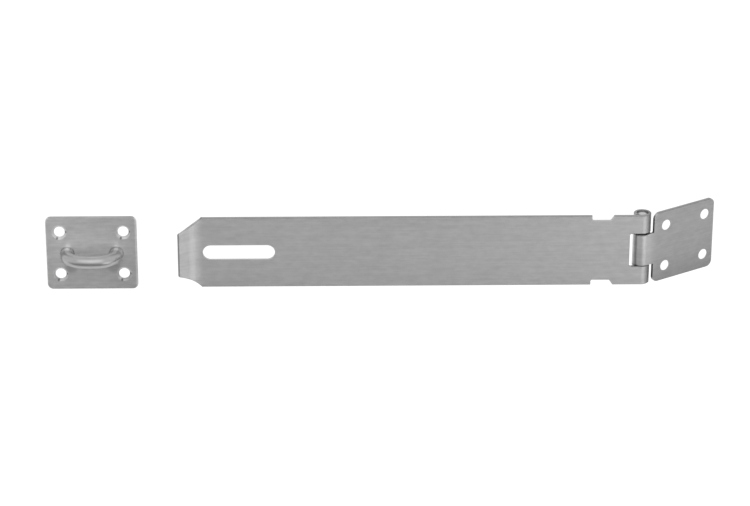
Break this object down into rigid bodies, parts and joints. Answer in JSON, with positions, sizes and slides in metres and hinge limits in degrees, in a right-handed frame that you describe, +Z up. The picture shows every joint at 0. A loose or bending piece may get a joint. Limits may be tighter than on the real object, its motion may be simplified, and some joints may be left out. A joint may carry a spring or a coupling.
{
  "type": "hinged hasp",
  "caption": "Sheet-steel hinged hasp: slotted strap with a bent finger tab, rolled pin hinge and screw-fixed leaf, with a separate plate and riveted staple for a padlock.",
  "frame": {"origin": "centre of the staple plate's screw pattern, on the back face that goes against the door frame", "axes": "+X along the strap from the staple towards the hinge, +Y out of the staple plate's back into the door frame, +Z up along the hinge pin"},
  "size_m": [0.3578, 0.042, 0.0416],
  "materials": {
    "strip_steel": "fine brushing along the strip",
    "plate_steel": "fine brushing along the plate",
    "bar_steel": "smooth drawn bar, satin",
    "pin_steel": "turned, satin"
  },
  "bodies": {
    "fixings": {"hinge_leaf": "strip_steel", "staple_plate": "plate_steel", "staple": "bar_steel"},
    "strap": {"hasp_strap": "strip_steel", "hinge_pin": "pin_steel"}
  },
  "joints": [
    {"name": "strap_hinge", "type": "hinge", "parent": "fixings", "child": "strap", "pos_m": [0.2928, 0.00317, 0], "axis": [0, 0, -1], "range_deg": [-120, 147]}
  ]
}
